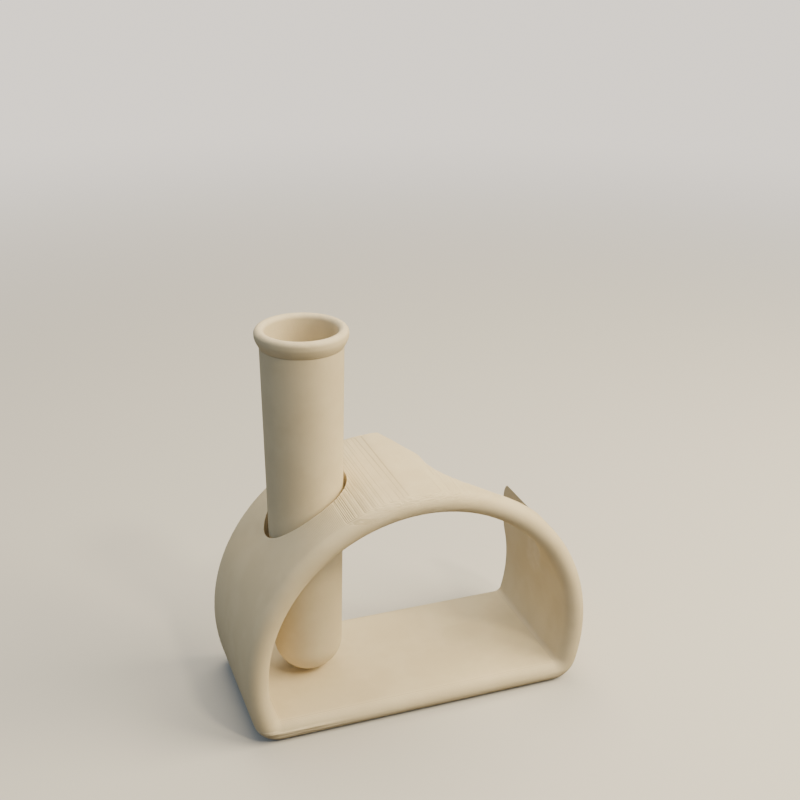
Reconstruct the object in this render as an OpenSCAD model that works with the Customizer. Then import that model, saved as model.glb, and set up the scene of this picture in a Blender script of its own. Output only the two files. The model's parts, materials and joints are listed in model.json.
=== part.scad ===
// Arched bathroom stand: one band bent into an arch over a flat floor. The roof
// has a round hole, where a lipped cup stands, and a slot that is open to the back.
// X runs to the right, Y to the back and Z up. The origin lies on the table,
// under the middle of the arch.

/* [Arch] */
// Width of the arch at its widest
body_w = 134; // [124:1:170]
// Depth from the front face to the back face
body_d = 60; // [56:1:90]
// Height of the arch's centre over the table
axis_h = 24.8; // [18:0.2:34]
// Thickness of the band, the same in the arch and in the floor
band_t = 8.2; // [6.4:0.1:9]
// Radius of the bottom corners, on the outside of the band
corner_r = 10.4; // [9.6:0.1:14]

/* [Cup hole] */
// Distance from the arch's left side to the hole's centre
hole_side = 31.5; // [28:0.5:36]
// Distance from the front face to the hole's centre
hole_front = 33.8; // [28:0.2:38]
// Clearance round the cup where it passes the roof
hole_clear = 1.5; // [0.8:0.1:2.4]

/* [Slot] */
// Width of the slot
slot_w = 48.6; // [40:0.2:52]
// Width that is left between the slot and the arch's right side
shoulder_w = 9.4; // [8.8:0.1:14]
// Depth of the roof that is left in front of the slot
slot_front = 6; // [4.8:0.2:14]
// Straight run of the slot's left side behind its round end
slot_straight = 3.6; // [1:0.1:6]
// Angle by which the left side then opens towards the back
flare_angle = 20; // [5:1:30]
// Radius of the corner between the open side and the back face
flare_corner_r = 5.3; // [2:0.1:8]

/* [Cup] */
// Length of the cup over all
cup_h = 139; // [110:1:170]
// Radius of the cup's round end
cup_end_r = 13; // [11:0.1:14]
// Lean of the cup's wall from the vertical, in degrees
cup_draft = 0.92; // [0.2:0.02:1.6]
// Thickness of the cup's wall
cup_wall = 2; // [1.2:0.1:3]
// Distance that the rolled lip stands out from the wall
lip_out = 1.6; // [0.8:0.1:2.5]
// Height of the rolled lip
lip_h = 6; // [5:0.1:9]
// Clearance between the cup's round end and the floor
seat_gap = 0.2; // [0.1:0.1:0.5]

/* [Hidden] */
$fn = 128;

// Overrun of a cut past the face that it opens
over = 1;
// Step by which a bottom corner lies inside its neighbours, so that the rounded
// edges meet in a clear line
corner_ease = 0.02;
// Angle by which a bottom corner's turn runs on into each neighbour
corner_lap = 2.5;

// Arch
arch_r = body_w / 2;
roof_top = axis_h + arch_r;
back_y = body_d / 2;

// Cup: its place, its round end's centre and its lip's section
cup_x = hole_side - arch_r;
cup_y = hole_front - back_y;
cup_bottom = band_t + seat_gap;
end_z = cup_bottom + cup_end_r;
// Step by which the side lies inside the round end, so that the two cross
end_ease = 0.01;
// Height by which the round end's section runs on past its centre
end_lap = 1;
// Step by which the lip stands in from the inside of the wall
lip_dig = 0.02;
bead_r = (cup_wall + lip_out) / 2;
bead_u = cup_end_r - cup_wall - end_ease - lip_dig + bead_r;
bead_z = cup_bottom + cup_h - bead_r - end_z;
bead_v = (bead_z + bead_u * sin(cup_draft)) / cos(cup_draft);

// Radius, at the height z over the round end's centre, of the side that leaves a
// round end of the radius end_r
function side_r(end_r, z) = (end_r - end_ease) / cos(cup_draft) + z * tan(cup_draft);

hole_r = side_r(cup_end_r, axis_h + sqrt(pow(arch_r, 2) - pow(cup_x, 2)) - end_z) + hole_clear;

// Slot, in plan: its round end's centre, its left side and the corner at the back
slot_r = slot_w / 2;
slot_x = arch_r - shoulder_w - slot_r;
slot_y = slot_front + slot_r - back_y;
slot_left = slot_x - slot_r;
slot_right = slot_x + slot_r;
flare_y = slot_y + slot_straight;
// The corner's circle reaches a little past the open side, so that the two cross
corner_dig = 0.05;
corner_y = back_y - flare_corner_r;
tangent_y = corner_y + (flare_corner_r - corner_dig) * sin(flare_angle);
tangent_x = slot_left - (tangent_y - flare_y) * tan(flare_angle);
corner_x = tangent_x - (flare_corner_r - corner_dig) * cos(flare_angle);

// Section of the band where its inside lies at the radius r_in: full-round edges.
// ease makes it that much smaller all round.
module band_section(r_in, ease = 0) {
    edge_r = band_t / 2;
    translate([r_in + ease, -back_y + edge_r]) square([band_t - 2 * ease, body_d - band_t]);
    for (side = [-1, 1]) translate([r_in + edge_r, side * (back_y - edge_r)]) circle(edge_r - ease);
}

// The closed band: the arch, the flat floor and the two corners between them, each
// turned about its own centre and tangent to both
module band() {
    centre_x = sqrt(pow(arch_r - corner_r, 2) - pow(axis_h - corner_r, 2));
    end_angle = atan2(axis_h - corner_r, centre_x);
    translate([0, 0, axis_h]) rotate([90, 0, 0]) rotate([0, 0, -end_angle])
        rotate_extrude(angle = 180 + 2 * end_angle) band_section(arch_r - band_t);
    for (side = [0, 1]) mirror([side, 0, 0])
        translate([centre_x, 0, corner_r]) rotate([90, 0, 0]) rotate([0, 0, -90 - corner_lap])
            rotate_extrude(angle = 90 - end_angle + 2 * corner_lap)
                band_section(corner_r - band_t, corner_ease);
    rotate([90, 0, 90]) linear_extrude(2 * centre_x, center = true)
        rotate(90) mirror([0, 1]) band_section(0);
}

// Slot in plan: a round front end, a straight right side and a left side that opens
// towards the back and ends in a rounded corner
module slot_plan() {
    translate([slot_x, slot_y]) circle(slot_r);
    difference() {
        polygon([
            [slot_left, slot_y],
            [slot_left, flare_y],
            [tangent_x, tangent_y],
            [corner_x, corner_y],
            [corner_x, back_y + over],
            [slot_right, back_y + over],
            [slot_right, slot_y]
        ]);
        translate([corner_x, corner_y]) circle(flare_corner_r);
    }
}

module arch_body() {
    roof_cut_h = roof_top + over - axis_h;
    color("#dfd3ba") difference() {
        band();
        translate([0, 0, axis_h]) linear_extrude(roof_cut_h) slot_plan();
        translate([cup_x, cup_y, axis_h]) cylinder(h = roof_cut_h, r = hole_r);
    }
}

// Half section of a solid with a round end of the radius end_r and a leaning side,
// with the round end's centre as the origin
module round_ended(end_r, top) {
    intersection() {
        circle(end_r);
        translate([0, -end_r - over]) square([end_r + over, end_r + over + end_lap]);
    }
    polygon([[0, 0], [side_r(end_r, 0), 0], [side_r(end_r, top), top], [0, top]]);
}

// Section of the rolled lip, turned to the wall's own lean
module lip_section() {
    lip_straight = lip_h - 2 * bead_r;
    rotate(-cup_draft) translate([bead_u, bead_v]) {
        circle(bead_r);
        translate([-bead_r, -lip_straight]) square([2 * bead_r, lip_straight]);
        translate([0, -lip_straight]) circle(bead_r);
    }
}

module brush_cup() {
    color("#d8cbb0") translate([cup_x, cup_y, end_z]) rotate_extrude() {
        difference() {
            round_ended(cup_end_r, bead_z);
            round_ended(cup_end_r - cup_wall, bead_z + over);
        }
        lip_section();
    }
}

arch_body();
brush_cup();
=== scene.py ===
"""Looks of an arched toothbrush holder with a lift-out cup, laid out as a Blender add-on.

Lengths are in metres unless a name says otherwise. X runs to the right, Y to the back, Z up.
"""

import json
import math

import bpy
from mathutils import Matrix, Vector

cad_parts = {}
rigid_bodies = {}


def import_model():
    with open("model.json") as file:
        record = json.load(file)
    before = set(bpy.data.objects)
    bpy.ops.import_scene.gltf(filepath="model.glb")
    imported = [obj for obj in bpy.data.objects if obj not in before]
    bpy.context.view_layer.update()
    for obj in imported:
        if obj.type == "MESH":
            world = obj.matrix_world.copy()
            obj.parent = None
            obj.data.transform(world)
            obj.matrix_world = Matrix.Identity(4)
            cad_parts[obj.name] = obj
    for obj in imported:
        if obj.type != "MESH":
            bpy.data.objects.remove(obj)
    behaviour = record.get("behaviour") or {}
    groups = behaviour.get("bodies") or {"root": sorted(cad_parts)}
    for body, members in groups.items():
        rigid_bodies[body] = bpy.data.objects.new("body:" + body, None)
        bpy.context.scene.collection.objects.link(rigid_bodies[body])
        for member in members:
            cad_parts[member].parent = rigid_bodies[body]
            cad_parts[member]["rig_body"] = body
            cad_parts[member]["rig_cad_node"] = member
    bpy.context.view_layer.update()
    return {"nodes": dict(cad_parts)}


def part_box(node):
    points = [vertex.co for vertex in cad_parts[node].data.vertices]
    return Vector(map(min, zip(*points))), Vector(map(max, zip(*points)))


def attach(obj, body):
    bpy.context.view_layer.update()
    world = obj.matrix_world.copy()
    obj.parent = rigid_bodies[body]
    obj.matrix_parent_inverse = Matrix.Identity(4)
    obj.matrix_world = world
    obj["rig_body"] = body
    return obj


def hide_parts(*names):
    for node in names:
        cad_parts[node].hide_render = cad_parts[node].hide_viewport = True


bl_info = {
    "name": "Arched Toothbrush Holder",
    "version": (1, 0, 0),
    "blender": (4, 5, 0),
    "location": "3D View > Sidebar > Holder",
    "description": "Printed arch, brush cup and studio stage",
    "category": "Object",
}

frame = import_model()
ARCH_LOW, ARCH_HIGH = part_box("arch_body")
CUP_LOW, CUP_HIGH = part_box("brush_cup")
CUP_TOP = CUP_HIGH.z
MM = 0.001
# The openings in the roof, in plan: the cup's hole and the slot's round front end
CUP_MIDDLE = ((CUP_LOW.x + CUP_HIGH.x) / 2, (CUP_LOW.y + CUP_HIGH.y) / 2, 0)
HOLE_RADIUS = 15.46 * MM
SLOT_MIDDLE = (33.3 * MM, 0.3 * MM, 0)
SLOT_RADIUS = 24.3 * MM
# Points of the CAD triangles that lie closer than this are one
MERGE_DISTANCE = 1e-6
# Edges shorter than this are removed after a piece is cut
SLIVER = 0.002 * MM
SMOOTH_ANGLE = math.radians(25)
# Sockets of a Mix node that mixes colours
MIX_SHARE, MIX_FIRST, MIX_SECOND, MIX_RESULT = 0, 6, 7, 2


class ArchSettings(bpy.types.PropertyGroup):
    """Sizes and finish of the printed arch"""

    layer_height: bpy.props.FloatProperty(
        name="Layer height", description="Height of one printed layer",
        default=0.28 * MM, unit="LENGTH")
    top_step: bpy.props.FloatProperty(
        name="Top step", description="Drop from the roof's crest to the edge of the top layer",
        default=0.21 * MM, unit="LENGTH")
    stepped_depth: bpy.props.FloatProperty(
        name="Stepped depth",
        description="Height below the crest in which the layers are real steps",
        default=7 * MM, unit="LENGTH")
    riser_run: bpy.props.FloatProperty(
        name="Riser run", description="Width of the rounded edge of a layer, seen from above",
        default=0.24 * MM, unit="LENGTH")
    track_width: bpy.props.FloatProperty(
        name="Track width", description="Width of one printed track on a level face",
        default=0.45 * MM, unit="LENGTH")
    waver: bpy.props.FloatProperty(
        name="Waver", description="Height by which a seam between layers strays up and down",
        default=0.04 * MM, unit="LENGTH")
    colour: bpy.props.FloatVectorProperty(
        name="Colour", description="Cream of the arch's plastic",
        subtype="COLOR", default=(0.70, 0.603, 0.43))
    patch_colour: bpy.props.FloatVectorProperty(
        name="Patch colour", description="Slightly deeper cream of its uneven patches",
        subtype="COLOR", default=(0.66, 0.563, 0.392))
    # Painted shade in the seams between layers and between the sagging strands; the specks take
    # the same darker cream as their own tone
    shade_and_speck_colour: bpy.props.FloatVectorProperty(
        name="Seam shade and speck colour", description="Darker cream in the seams between layers",
        subtype="COLOR", default=(0.45, 0.36, 0.24))
    # Painted highlight: paler cream on the rims of the openings, shown as rubbed wear
    worn_highlight_colour: bpy.props.FloatVectorProperty(
        name="Worn highlight colour", description="Paler cream of rubbed edges",
        subtype="COLOR", default=(0.77, 0.67, 0.52))
    layer_relief: bpy.props.FloatProperty(
        name="Layer relief", description="Depth of the seams between layers in the bump",
        default=0.035 * MM, unit="LENGTH")
    grain_relief: bpy.props.FloatProperty(
        name="Grain relief", description="Height of the fine grain in the bump",
        default=0.02 * MM, unit="LENGTH")
    strand_relief: bpy.props.FloatProperty(
        name="Strand relief", description="Height of the sagging strands under the edges",
        default=0.9 * MM, unit="LENGTH")
    strand_reach: bpy.props.FloatProperty(
        name="Strand reach", description="Height over the table that the sagging strands reach",
        default=6.5 * MM, unit="LENGTH")


class CupSettings(bpy.types.PropertyGroup):
    """Lip and finish of the brush cup"""

    wall_radius: bpy.props.FloatProperty(
        name="Wall radius",
        description="Outside radius of the wall where the round end starts",
        default=13 * MM, unit="LENGTH")
    wall_start: bpy.props.FloatProperty(
        name="Wall start",
        description="Height over the table where the round end turns into the wall",
        default=21.4 * MM, unit="LENGTH")
    wall_lean: bpy.props.FloatProperty(
        name="Wall lean", description="Lean of the wall from the vertical",
        subtype="ANGLE", default=math.radians(0.92))
    lip_out: bpy.props.FloatProperty(
        name="Lip width", description="Distance that the lip stands out from the wall",
        default=1.6 * MM, unit="LENGTH")
    lip_shoulder: bpy.props.FloatProperty(
        name="Lip shoulder", description="Depth below the top where the lip starts to run in",
        default=2.7 * MM, unit="LENGTH")
    lip_foot: bpy.props.FloatProperty(
        name="Lip foot", description="Depth below the top where the lip meets the wall",
        default=6.5 * MM, unit="LENGTH")
    layer_height: bpy.props.FloatProperty(
        name="Layer height", description="Height of one printed layer",
        default=0.16 * MM, unit="LENGTH")
    track_width: bpy.props.FloatProperty(
        name="Track width", description="Width of one printed track on a level face",
        default=0.4 * MM, unit="LENGTH")
    waver: bpy.props.FloatProperty(
        name="Waver", description="Height by which a seam between layers strays up and down",
        default=0.03 * MM, unit="LENGTH")
    colour: bpy.props.FloatVectorProperty(
        name="Colour", description="Cream of the cup's plastic",
        subtype="COLOR", default=(0.68, 0.588, 0.422))
    patch_colour: bpy.props.FloatVectorProperty(
        name="Patch colour", description="Slightly deeper cream of its uneven patches",
        subtype="COLOR", default=(0.64, 0.547, 0.385))
    # Painted shade in the seams between layers and in the line at the lip's foot; the specks take
    # the same darker cream as their own tone
    shade_and_speck_colour: bpy.props.FloatVectorProperty(
        name="Seam shade and speck colour", description="Darker cream in the seams between layers",
        subtype="COLOR", default=(0.46, 0.375, 0.255))
    # Painted highlight: paler cream on the top of the lip, shown as rubbed wear
    worn_highlight_colour: bpy.props.FloatVectorProperty(
        name="Worn highlight colour", description="Paler cream of the rubbed lip",
        subtype="COLOR", default=(0.74, 0.65, 0.50))
    layer_relief: bpy.props.FloatProperty(
        name="Layer relief", description="Depth of the seams between layers in the bump",
        default=0.02 * MM, unit="LENGTH")
    grain_relief: bpy.props.FloatProperty(
        name="Grain relief", description="Height of the fine grain in the bump",
        default=0.015 * MM, unit="LENGTH")


class StageSettings(bpy.types.PropertyGroup):
    """Floor, lights and camera"""

    camera_place: bpy.props.FloatVectorProperty(
        name="Camera place", description="Where the camera stands",
        subtype="TRANSLATION", default=(-0.1429, -0.3829, 0.2938))
    camera_heading: bpy.props.FloatProperty(
        name="Heading", description="Turn of the view to the right of straight back",
        subtype="ANGLE", default=math.radians(20.44))
    camera_tilt: bpy.props.FloatProperty(
        name="Tilt", description="Angle of the view below the horizon",
        subtype="ANGLE", default=math.radians(23.45))
    camera_roll: bpy.props.FloatProperty(
        name="Roll", description="Turn of the camera about its own view",
        subtype="ANGLE", default=math.radians(0.69))
    lens: bpy.props.FloatProperty(
        name="Lens", description="Focal length in millimetres on a 36 mm sensor",
        default=55.4)
    key_power: bpy.props.FloatProperty(
        name="Key light", description="Power of the light whose shadows show, in watts",
        default=5.6)
    side_power: bpy.props.FloatProperty(
        name="Side light", description="Power of the wide soft light at the right, in watts",
        default=11.0)
    fill_power: bpy.props.FloatProperty(
        name="Fill light", description="Power of the weak soft light at the left, in watts",
        default=1.6)
    ceiling_power: bpy.props.FloatProperty(
        name="Ceiling light", description="Power of the wide soft light above, in watts",
        default=17.0)
    lamp_colour: bpy.props.FloatVectorProperty(
        name="Lamp colour", description="Warm colour of the lights",
        subtype="COLOR", default=(1.0, 0.83, 0.52))
    shade_colour: bpy.props.FloatVectorProperty(
        name="Shade colour", description="Cooler colour of the light that fills the shade",
        subtype="COLOR", default=(0.78, 0.92, 1.0))
    world_light: bpy.props.FloatProperty(
        name="Surroundings", description="Strength of the soft light from all round",
        default=0.42)
    floor_colour: bpy.props.FloatVectorProperty(
        name="Floor", description="Pale colour of the floor",
        subtype="COLOR", default=(0.57, 0.56, 0.57))
    backdrop_colour: bpy.props.FloatVectorProperty(
        name="Backdrop",
        description="Pale tone into which the floor runs out, far from the holder",
        subtype="COLOR", default=(1.42, 1.30, 1.15))
    floor_bounce: bpy.props.FloatVectorProperty(
        name="Floor bounce", description="Colour of the weak light that the floor throws back",
        subtype="COLOR", default=(0.13, 0.115, 0.095))


class HolderSettings(bpy.types.PropertyGroup):
    """All sizes and colours of the holder"""

    arch: bpy.props.PointerProperty(type=ArchSettings)
    cup: bpy.props.PointerProperty(type=CupSettings)
    stage: bpy.props.PointerProperty(type=StageSettings)


def select_only(piece):
    """Deselects everything else, and makes the piece the one that operators act on."""
    bpy.ops.object.select_all(action="DESELECT")
    piece.select_set(True)
    bpy.context.view_layer.objects.active = piece


def merged_copy(node, name):
    """A copy of a CAD node's triangles as one connected mesh, free of the node's parent."""
    piece = node.copy()
    piece.data = node.data.copy()
    piece.name = piece.data.name = name
    piece.parent = None
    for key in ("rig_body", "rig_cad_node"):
        if key in piece:
            del piece[key]
    bpy.context.scene.collection.objects.link(piece)
    piece.data.materials.clear()
    select_only(piece)
    bpy.ops.object.mode_set(mode="EDIT")
    bpy.ops.mesh.select_all(action="SELECT")
    bpy.ops.mesh.remove_doubles(threshold=MERGE_DISTANCE)
    bpy.ops.mesh.customdata_custom_splitnormals_clear()
    bpy.ops.object.mode_set(mode="OBJECT")
    return piece


def cut_levels(piece, heights):
    """Cuts the piece's mesh along level planes, and keeps all of it."""
    select_only(piece)
    bpy.ops.object.mode_set(mode="EDIT")
    for height in heights:
        bpy.ops.mesh.select_all(action="SELECT")
        bpy.ops.mesh.bisect(plane_co=(0, 0, height), plane_no=(0, 0, 1))
    bpy.ops.object.mode_set(mode="OBJECT")


def finish_piece(piece, material, body, node):
    """Cleans and smooths a shaped piece, gives it its material and puts it in the node's place."""
    select_only(piece)
    bpy.ops.object.mode_set(mode="EDIT")
    bpy.ops.mesh.select_all(action="SELECT")
    bpy.ops.mesh.dissolve_degenerate(threshold=SLIVER)
    bpy.ops.object.mode_set(mode="OBJECT")
    bpy.ops.object.shade_smooth_by_angle(angle=SMOOTH_ANGLE)
    piece.data.materials.append(material)
    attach(piece, body)
    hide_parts(node)


class HOLDER_OT_arch(bpy.types.Operator):
    """Make the printed arch, whose crest shows its layers as steps"""

    bl_idname = "holder.arch"
    bl_label = "Printed arch"

    def execute(self, context):
        sizes = context.scene.holder.arch
        piece = merged_copy(frame["nodes"]["arch_body"], "printed_arch")
        edges = step_heights(sizes)
        cut_levels(piece, [height for edge in edges for height in edge])
        for vertex in piece.data.vertices:
            vertex.co.z = stepped(vertex.co.z, edges)
        finish_piece(piece, arch_plastic(sizes), "arch", "arch_body")
        return {"FINISHED"}


def step_heights(sizes):
    """The lower edge of each stepped layer and the height where its riser starts, top first."""
    crest = ARCH_HIGH.z
    radius = (ARCH_HIGH.x - ARCH_LOW.x) / 2
    centre = crest - radius
    edges = []
    low = crest - sizes.top_step
    while low > crest - sizes.stepped_depth:
        rise = low - centre
        out = math.sqrt(radius ** 2 - rise ** 2)
        edges.append((low, low - sizes.riser_run * out / rise))
        low -= sizes.layer_height
    return edges


def stepped(height, edges):
    """A height moved down to the level of its layer; a height in a riser stays on its slope."""
    slack = 0.001 * MM
    for index, (low, shoulder) in enumerate(edges):
        if height >= low - slack:
            return low
        if height > shoulder + slack:
            below = edges[index + 1][0] if index + 1 < len(edges) else shoulder
            share = (height - shoulder) / (low - shoulder)
            return below + share * (low - below)
    return height


class HOLDER_OT_cup(bpy.types.Operator):
    """Make the brush cup, whose rolled lip runs softly in to the wall"""

    bl_idname = "holder.cup"
    bl_label = "Brush cup"

    def execute(self, context):
        sizes = context.scene.holder.cup
        piece = merged_copy(frame["nodes"]["brush_cup"], "turned_cup")
        rows = 14
        run = sizes.lip_foot - sizes.lip_shoulder
        cut_levels(piece, [CUP_TOP - sizes.lip_shoulder - run * row / rows
                           for row in range(rows + 1)])
        for vertex in piece.data.vertices:
            roll_in(vertex.co, sizes)
        finish_piece(piece, cup_plastic(sizes), "cup", "brush_cup")
        return {"FINISHED"}


def roll_in(place, sizes):
    """Moves a point of the lip's outside, so that the lip runs in towards its foot."""
    wall_margin = 0.5 * MM
    roundness = 1.5
    depth = CUP_TOP - place.z
    if not sizes.lip_shoulder <= depth <= sizes.lip_foot:
        return
    wall = (sizes.wall_radius / math.cos(sizes.wall_lean)
            + (place.z - sizes.wall_start) * math.tan(sizes.wall_lean))
    out = Vector((place.x - CUP_MIDDLE[0], place.y - CUP_MIDDLE[1], 0))
    if out.length < wall - wall_margin:
        return
    share = (depth - sizes.lip_shoulder) / (sizes.lip_foot - sizes.lip_shoulder)
    radius = wall + sizes.lip_out * (1 - share ** roundness)
    place.x = CUP_MIDDLE[0] + out.x / out.length * radius
    place.y = CUP_MIDDLE[1] + out.y / out.length * radius


def put(tree, kind, inputs=(), **settings):
    """Adds a node with its settings and joins or fills its inputs."""
    node = tree.nodes.new(kind)
    for name, value in settings.items():
        setattr(node, name, value)
    for socket, value in dict(inputs).items():
        if isinstance(value, bpy.types.NodeSocket):
            tree.links.new(value, node.inputs[socket])
        else:
            node.inputs[socket].default_value = value
    return node


def maths(tree, operation, *values):
    """A number worked out from one or two others."""
    return put(tree, "ShaderNodeMath", enumerate(values), operation=operation).outputs[0]


def ramp(tree, value, start, end, low=0.0, high=1.0):
    """Carries a value smoothly from low at start to high at end."""
    inputs = {"Value": value, "From Min": start, "From Max": end, "To Min": low, "To Max": high}
    return put(tree, "ShaderNodeMapRange", inputs, interpolation_type="SMOOTHSTEP").outputs[0]


def noise(tree, place, scale, detail=2.0, roughness=0.5):
    """Noise with a scale per metre."""
    inputs = {"Vector": place, "Scale": scale, "Detail": detail, "Roughness": roughness}
    return put(tree, "ShaderNodeTexNoise", inputs).outputs[0]


def split(tree, vector):
    """The X, Y and Z of a vector."""
    return put(tree, "ShaderNodeSeparateXYZ", {0: vector}).outputs


def blend_colours(tree, share, first, second):
    """The first colour, with a share of the second over it."""
    inputs = {MIX_SHARE: share}
    for socket, value in ((MIX_FIRST, first), (MIX_SECOND, second)):
        inputs[socket] = value if isinstance(value, bpy.types.NodeSocket) else (*value, 1)
    return put(tree, "ShaderNodeMix", inputs, data_type="RGBA").outputs[MIX_RESULT]


def bump(tree, relief, height, normal=None):
    """A normal bent by a height, where 1 stands out by the relief."""
    inputs = {"Strength": 1.0, "Distance": relief, "Height": height}
    if normal:
        inputs["Normal"] = normal
    return put(tree, "ShaderNodeBump", inputs).outputs[0]


def off_axis(tree, place, middle):
    """Distance from the upright axis through a middle."""
    offset = put(tree, "ShaderNodeVectorMath", {0: place, 1: middle}, operation="SUBTRACT")
    level = put(tree, "ShaderNodeVectorMath", {0: offset.outputs[0], 1: (1, 1, 0)},
                operation="MULTIPLY")
    return put(tree, "ShaderNodeVectorMath", {0: level.outputs[0]},
               operation="LENGTH").outputs["Value"]


def new_group(name, inputs, outputs):
    """An empty node group with its sockets, and the sockets as seen from inside."""
    tree = bpy.data.node_groups.new(name, "ShaderNodeTree")
    for label, kind in inputs:
        tree.interface.new_socket(label, in_out="INPUT", socket_type=kind)
    for label in outputs:
        tree.interface.new_socket(label, in_out="OUTPUT", socket_type="NodeSocketFloat")
    return tree, tree.nodes.new("NodeGroupInput").outputs, tree.nodes.new("NodeGroupOutput").inputs


def print_layers():
    """Beads of the printed layers: seams by height on walls, slanting tracks on level faces; the
    seams' mask carries painted shade for the grooves.
    """
    waver_scale = 70.0
    level_start, level_end = 0.985, 0.998
    steep, shallow, steep_strength = 0.2, 0.75, 0.25
    track_strength = 0.35
    bead_sharpness = 4.0
    seam_shade_start = 0.72
    tree, given, result = new_group(
        "print layers",
        [("Place", "NodeSocketVector"), ("Facing", "NodeSocketVector"),
         ("Layer height", "NodeSocketFloat"), ("Track width", "NodeSocketFloat"),
         ("Waver", "NodeSocketFloat"), ("Top tread", "NodeSocketFloat")],
        ["Height", "Seam"])
    place = split(tree, given["Place"])
    level = maths(tree, "ABSOLUTE", split(tree, given["Facing"])["Z"])
    stray = maths(tree, "SUBTRACT", noise(tree, given["Place"], waver_scale), 0.5)
    drift = maths(tree, "MULTIPLY", stray, given["Waver"])
    below = maths(tree, "SUBTRACT", maths(tree, "ADD", place["Z"], drift), given["Top tread"])
    # Half a layer up, so that a seam falls on the edge of each real tread
    height = maths(tree, "ADD", maths(tree, "DIVIDE", below, given["Layer height"]), 0.5)
    across = maths(tree, "MULTIPLY", maths(tree, "ADD", place["X"], place["Y"]), math.sqrt(0.5))
    track = maths(tree, "DIVIDE", across, given["Track width"])
    flat = ramp(tree, level, level_start, level_end)
    wall_strength = ramp(tree, level, steep, shallow, steep_strength, 1.0)
    wall_share = maths(tree, "MULTIPLY", wall_strength, maths(tree, "SUBTRACT", 1.0, flat))
    track_share = maths(tree, "MULTIPLY", flat, track_strength)
    heights, seam_shades = [], []
    for count, share in ((height, wall_share), (track, track_share)):
        side = maths(tree, "ABSOLUTE", maths(tree, "SUBTRACT", maths(tree, "FRACT", count), 0.5))
        bead = maths(tree, "MULTIPLY", side, 2.0)
        hollow = maths(tree, "POWER", bead, bead_sharpness)
        heights.append(maths(tree, "MULTIPLY", hollow, share))
        # The seams' darker colour is painted shade in the grooves between beads
        seam_shades.append(maths(tree, "MULTIPLY", ramp(tree, bead, seam_shade_start, 1.0), share))
    tree.links.new(maths(tree, "SUBTRACT", 1.0, maths(tree, "ADD", *heights)), result["Height"])
    tree.links.new(maths(tree, "ADD", *seam_shades), result["Seam"])
    return tree


def uneven_plastic():
    """Broad uneven patches, a fine matte grain and small specks."""
    specks_per_patch = 3.0
    tree, given, result = new_group(
        "uneven plastic",
        [("Place", "NodeSocketVector"), ("Patch size", "NodeSocketFloat"),
         ("Grain size", "NodeSocketFloat")],
        ["Patch", "Grain", "Speck"])

    def spots(per_size, size, detail, roughness):
        return noise(tree, given["Place"], maths(tree, "DIVIDE", per_size, given[size]),
                     detail, roughness)

    patches = spots(1.0, "Patch size", 3.0, 0.55)
    grains = spots(1.0, "Grain size", 2.0, 0.6)
    specks = spots(specks_per_patch, "Patch size", 4.0, 0.7)
    tree.links.new(ramp(tree, patches, 0.36, 0.64), result["Patch"])
    tree.links.new(grains, result["Grain"])
    tree.links.new(ramp(tree, specks, 0.66, 0.76), result["Speck"])
    return tree


def rubbed_highlight_ring():
    """Mask of a rubbed edge round an upright opening, broken up by noise; it carries rubbed wear
    and a painted highlight.
    """
    wear_scale = 260.0
    least_wear = 0.25
    tree, given, result = new_group(
        "rubbed highlight ring",
        [("Place", "NodeSocketVector"), ("Middle", "NodeSocketVector"),
         ("Radius", "NodeSocketFloat"), ("Width", "NodeSocketFloat"),
         ("Above", "NodeSocketFloat")],
        ["Mask"])
    radius = off_axis(tree, given["Place"], given["Middle"])
    away = maths(tree, "ABSOLUTE", maths(tree, "SUBTRACT", radius, given["Radius"]))
    near = ramp(tree, maths(tree, "DIVIDE", away, given["Width"]), 1.0, 0.1)
    broken = ramp(tree, noise(tree, given["Place"], wear_scale, 3.0, 0.6),
                  0.3, 0.62, least_wear, 1.0)
    high = maths(tree, "GREATER_THAN", split(tree, given["Place"])["Z"], given["Above"])
    mask = maths(tree, "MULTIPLY", maths(tree, "MULTIPLY", near, broken), high)
    tree.links.new(mask, result["Mask"])
    return tree


def sagging_strands():
    """Loose strands of the first layers, where the left edge overhangs the table; their mask
    darkens the streaks between them with painted shade.
    """
    corner_start, corner_end, strength_elsewhere = -26 * MM, -50 * MM, 0.15
    # A strand runs long and level, so the pattern is squeezed in height
    strand_scale = (75, 75, 1100)
    tree, given, result = new_group(
        "sagging strands",
        [("Place", "NodeSocketVector"), ("Facing", "NodeSocketVector"),
         ("Reach", "NodeSocketFloat")],
        ["Height", "Mask"])
    place = split(tree, given["Place"])
    low = ramp(tree, maths(tree, "DIVIDE", place["Z"], given["Reach"]), 1.0, 0.75)
    corner = ramp(tree, place["X"], corner_start, corner_end, strength_elsewhere, 1.0)
    overhang = ramp(tree, split(tree, given["Facing"])["Z"], 0.4, 0.0)
    under = maths(tree, "MULTIPLY", overhang, maths(tree, "MULTIPLY", low, corner))
    strand = put(tree, "ShaderNodeMapping", {"Vector": given["Place"], "Scale": strand_scale})
    strands = noise(tree, strand.outputs[0], 1.0, 1.5, 0.5)
    tree.links.new(maths(tree, "MULTIPLY", strands, under), result["Height"])
    # The streaks between strands are darkened with painted shade
    tree.links.new(maths(tree, "MULTIPLY", ramp(tree, strands, 0.52, 0.4), under),
                   result["Mask"])
    return tree


def put_effect(tree, name, build, inputs):
    """Places a shared effect's node group, which is built the first time that it is needed."""
    group = bpy.data.node_groups.get(name) or build()
    return put(tree, "ShaderNodeGroup", inputs, node_tree=group).outputs


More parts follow.
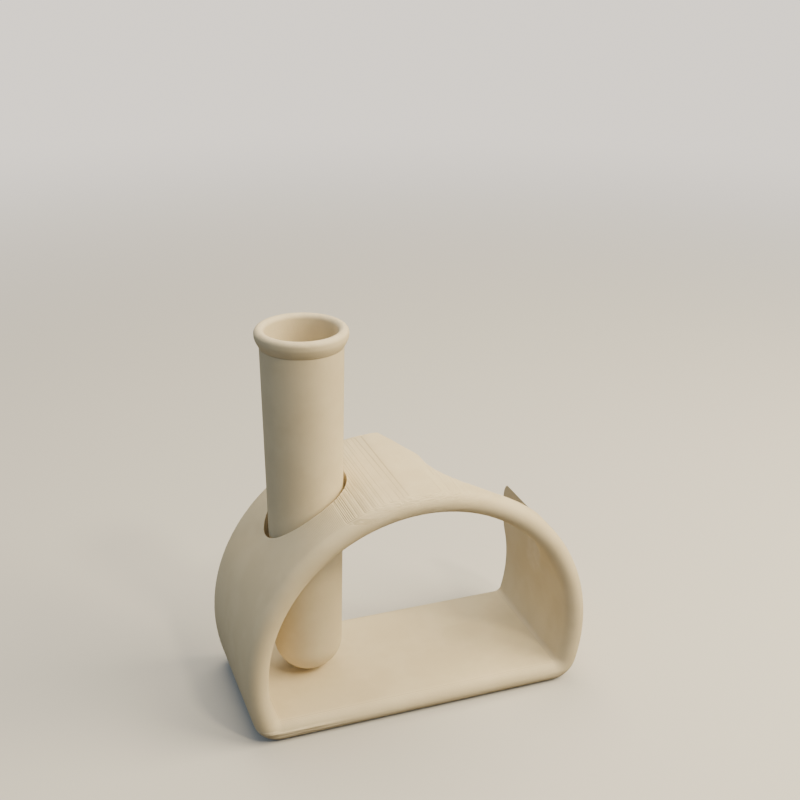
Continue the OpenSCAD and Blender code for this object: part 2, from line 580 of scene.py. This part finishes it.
def plastic_base(name, sizes, top_tread):
    """The part that both plastics share: layers, patches and grain, up to colour and normal; the
    seams between layers are darkened with painted shade.
    """
    patch_size, grain_size = 14 * MM, 0.45 * MM
    speck_share, seam_shade_share = 0.12, 0.9
    material = bpy.data.materials.new(name)
    material.use_nodes = True
    tree = material.node_tree
    coords = tree.nodes.new("ShaderNodeTexCoord").outputs
    layers = put_effect(tree, "print layers", print_layers, {
        "Place": coords["Object"], "Facing": coords["Normal"],
        "Layer height": sizes.layer_height, "Track width": sizes.track_width,
        "Waver": sizes.waver, "Top tread": top_tread})
    uneven = put_effect(tree, "uneven plastic", uneven_plastic, {
        "Place": coords["Object"], "Patch size": patch_size, "Grain size": grain_size})
    colour = blend_colours(tree, uneven["Patch"], sizes.colour, sizes.patch_colour)
    # Specks are a darker tone of the plastic; the darker seams are painted shade
    for mask, share in ((uneven["Speck"], speck_share), (layers["Seam"], seam_shade_share)):
        colour = blend_colours(tree, maths(tree, "MULTIPLY", mask, share),
                               colour, sizes.shade_and_speck_colour)
    normal = bump(tree, sizes.grain_relief, uneven["Grain"])
    normal = bump(tree, sizes.layer_relief, layers["Height"], normal)
    return material, tree, coords, uneven, colour, normal


def finish_plastic(tree, uneven, colour, wear_and_highlight, worn_highlight_colour, normal):
    """Joins colour, gloss and relief to the shader; rubbed places are smoother, and paler by a
    painted highlight.
    """
    roughness, patch_roughness = 0.50, 0.56
    grain_share, worn_share = 0.12, 0.12
    shader = tree.nodes["Principled BSDF"]
    # The paler colour of rubbed places is a painted highlight
    colour = blend_colours(tree, wear_and_highlight, colour, worn_highlight_colour)
    rough = maths(tree, "ADD", maths(tree, "MULTIPLY", uneven["Grain"], grain_share),
                  ramp(tree, uneven["Patch"], 0, 1, roughness, patch_roughness))
    rough = maths(tree, "SUBTRACT", rough, maths(tree, "MULTIPLY", wear_and_highlight, worn_share))
    tree.links.new(colour, shader.inputs["Base Color"])
    tree.links.new(rough, shader.inputs["Roughness"])
    tree.links.new(normal, shader.inputs["Normal"])


def arch_plastic(sizes):
    """Matte cream print: seams of the layers in painted shade, rubbed openings made paler by a
    painted highlight, and strands under the edge with painted shade between them.
    """
    ring_width, ring_above, ring_share = 0.9 * MM, 30 * MM, 0.6
    strand_shade_share = 0.6
    material, tree, coords, uneven, colour, normal = plastic_base(
        "arch plastic", sizes, ARCH_HIGH.z - sizes.top_step)
    rings = []
    for middle, radius in ((CUP_MIDDLE, HOLE_RADIUS), (SLOT_MIDDLE, SLOT_RADIUS)):
        rings.append(put_effect(tree, "rubbed highlight ring", rubbed_highlight_ring, {
            "Place": coords["Object"], "Middle": middle, "Radius": radius,
            "Width": ring_width, "Above": ring_above})["Mask"])
    strands = put_effect(tree, "sagging strands", sagging_strands, {
        "Place": coords["Object"], "Facing": coords["Normal"], "Reach": sizes.strand_reach})
    # Painted shade between the strands under the overhang
    colour = blend_colours(tree, maths(tree, "MULTIPLY", strands["Mask"], strand_shade_share),
                           colour, sizes.shade_and_speck_colour)
    normal = bump(tree, sizes.strand_relief, strands["Height"], normal)
    # The rims of the openings are paler by a painted highlight, and smoother as if rubbed
    wear_and_highlight = maths(tree, "MULTIPLY", maths(tree, "MAXIMUM", *rings), ring_share)
    finish_plastic(tree, uneven, colour, wear_and_highlight, sizes.worn_highlight_colour, normal)
    return material


def cup_plastic(sizes):
    """Matte cream plastic with fine layers, a rubbed lip made paler by a painted highlight, and a
    line of painted shade at the lip's foot.
    """
    wear_scale, least_wear, most_wear = 240.0, 0.2, 0.6
    wear_start, wear_end = CUP_TOP - 1.6 * MM, CUP_TOP - 0.3 * MM
    lip_shade_edge, lip_shade_core, lip_shade_share = 0.35 * MM, 0.05 * MM, 0.75
    # Between the wall's inside and its outside, at the height of the lip
    mid_wall = sizes.wall_radius + 1 * MM
    material, tree, coords, uneven, colour, normal = plastic_base("cup plastic", sizes, CUP_TOP)
    height = split(tree, coords["Object"])["Z"]
    broken = ramp(tree, noise(tree, coords["Object"], wear_scale, 3.0, 0.6),
                  0.32, 0.62, least_wear, most_wear)
    # The top of the lip is paler by a painted highlight, and smoother as if rubbed
    wear_and_highlight = maths(tree, "MULTIPLY", ramp(tree, height, wear_start, wear_end), broken)
    # A thin line of painted shade at the lip's foot, on the outside only
    foot = maths(tree, "ABSOLUTE", maths(tree, "SUBTRACT", height, CUP_TOP - sizes.lip_foot))
    outside = maths(tree, "GREATER_THAN", off_axis(tree, coords["Object"], CUP_MIDDLE), mid_wall)
    lip_shade_line = maths(tree, "MULTIPLY", ramp(tree, foot, lip_shade_edge, lip_shade_core),
                   maths(tree, "MULTIPLY", outside, lip_shade_share))
    colour = blend_colours(tree, lip_shade_line, colour, sizes.shade_and_speck_colour)
    finish_plastic(tree, uneven, colour, wear_and_highlight, sizes.worn_highlight_colour, normal)
    return material


class HOLDER_OT_stage(bpy.types.Operator):
    """Set up the floor, the lights and the camera"""

    bl_idname = "holder.stage"
    bl_label = "Studio stage"

    def execute(self, context):
        stage = context.scene.holder.stage
        add_floor(stage)
        add_lights(stage)
        add_world(stage)
        add_camera(stage)
        return {"FINISHED"}


def add_floor(stage):
    """A plain pale floor that runs out into the backdrop; it throws only a weak light back."""
    floor_size = 6
    fade_start, fade_end = 0.35, 1.1
    bpy.ops.object.select_all(action="DESELECT")
    bpy.ops.mesh.primitive_plane_add(size=floor_size, location=(0, 0, ARCH_LOW.z))
    floor = bpy.context.object
    floor.name = "floor"
    material = bpy.data.materials.new("floor")
    material.use_nodes = True
    tree = material.node_tree
    shader = tree.nodes["Principled BSDF"]
    shader.inputs["Base Color"].default_value = (*stage.floor_colour, 1)
    shader.inputs["Roughness"].default_value = 0.8
    backdrop = put(tree, "ShaderNodeEmission", {"Color": (*stage.backdrop_colour, 1)})
    place = tree.nodes.new("ShaderNodeTexCoord").outputs["Object"]
    away = put(tree, "ShaderNodeVectorMath", {0: place}, operation="LENGTH").outputs["Value"]
    seen_floor = put(tree, "ShaderNodeMixShader", {
        0: ramp(tree, away, fade_start, fade_end), 1: shader.outputs[0], 2: backdrop.outputs[0]})
    bounce = put(tree, "ShaderNodeBsdfDiffuse", {"Color": (*stage.floor_bounce, 1)})
    split_by_ray(tree, bounce, seen_floor, "Material Output")
    floor.data.materials.append(material)


def split_by_ray(tree, lighting, seen, output):
    """Shows one shader to the camera and lets the other light the scene."""
    is_seen = tree.nodes.new("ShaderNodeLightPath").outputs["Is Camera Ray"]
    mixed = put(tree, "ShaderNodeMixShader", {
        0: is_seen, 1: lighting.outputs[0], 2: seen.outputs[0]})
    tree.links.new(mixed.outputs[0], tree.nodes[output].inputs["Surface"])


def add_lamp(name, azimuth, elevation, distance, size, power, colour):
    """An area light that stands off the holder's middle and faces it; angles are in degrees."""
    target = (ARCH_LOW + ARCH_HIGH) / 2
    azimuth, elevation = math.radians(azimuth), math.radians(elevation)
    away = Vector((math.cos(azimuth) * math.cos(elevation),
                   math.sin(azimuth) * math.cos(elevation), math.sin(elevation)))
    turn = away.to_track_quat("Z", "Y").to_euler()
    bpy.ops.object.light_add(type="AREA", location=target + away * distance, rotation=turn)
    lamp = bpy.context.object
    lamp.name = name
    lamp.data.energy = power
    lamp.data.size = size
    lamp.data.color = colour


def add_lights(stage):
    """A small key light from the front right, and three wide soft ones."""
    add_lamp("key_light", azimuth=-69.5, elevation=50, distance=1.2, size=0.12,
             power=stage.key_power, colour=stage.lamp_colour)
    add_lamp("side_light", azimuth=-27, elevation=43, distance=0.75, size=0.5,
             power=stage.side_power, colour=stage.lamp_colour)
    add_lamp("fill_light", azimuth=175, elevation=25, distance=1.5, size=1.0,
             power=stage.fill_power, colour=stage.shade_colour)
    add_lamp("ceiling_light", azimuth=75, elevation=70, distance=1.4, size=0.9,
             power=stage.ceiling_power, colour=stage.lamp_colour)


def add_world(stage):
    """Weak cool light from all round, behind which the camera sees the backdrop's tone."""
    world = bpy.data.worlds.new("surroundings")
    world.use_nodes = True
    tree = world.node_tree
    background = tree.nodes["Background"]
    background.inputs["Color"].default_value = (*stage.shade_colour, 1)
    background.inputs["Strength"].default_value = stage.world_light
    backdrop = put(tree, "ShaderNodeBackground", {"Color": (*stage.backdrop_colour, 1)})
    split_by_ray(tree, background, backdrop, "World Output")
    bpy.context.scene.world = world


def add_camera(stage):
    """The camera at the photograph's place and angle."""
    heading, tilt = stage.camera_heading, stage.camera_tilt
    look = Vector((math.sin(heading) * math.cos(tilt), math.cos(heading) * math.cos(tilt),
                   -math.sin(tilt)))
    turn = look.to_track_quat("-Z", "Y").to_matrix() @ Matrix.Rotation(stage.camera_roll, 3, "Z")
    bpy.ops.object.camera_add(location=stage.camera_place, rotation=turn.to_euler())
    camera = bpy.context.object
    camera.name = "camera"
    camera.data.sensor_width = 36
    camera.data.lens = stage.lens
    camera.data.clip_start = 0.01
    camera.data.clip_end = 20
    bpy.context.scene.camera = camera


class HOLDER_PT_panel(bpy.types.Panel):
    """Lists the holder's pieces in the sidebar"""

    bl_label = "Toothbrush holder"
    bl_idname = "HOLDER_PT_panel"
    bl_space_type = "VIEW_3D"
    bl_region_type = "UI"
    bl_category = "Holder"

    def draw(self, context):
        for piece in (HOLDER_OT_arch, HOLDER_OT_cup, HOLDER_OT_stage):
            self.layout.operator(piece.bl_idname)


CLASSES = (ArchSettings, CupSettings, StageSettings, HolderSettings,
           HOLDER_OT_arch, HOLDER_OT_cup, HOLDER_OT_stage, HOLDER_PT_panel)


def register():
    for cls in CLASSES:
        bpy.utils.register_class(cls)
    bpy.types.Scene.holder = bpy.props.PointerProperty(type=HolderSettings)


def unregister():
    del bpy.types.Scene.holder
    for cls in reversed(CLASSES):
        bpy.utils.unregister_class(cls)


def main():
    register()
    bpy.ops.holder.arch()
    bpy.ops.holder.cup()
    bpy.ops.holder.stage()


if __name__ == "__main__":
    main()
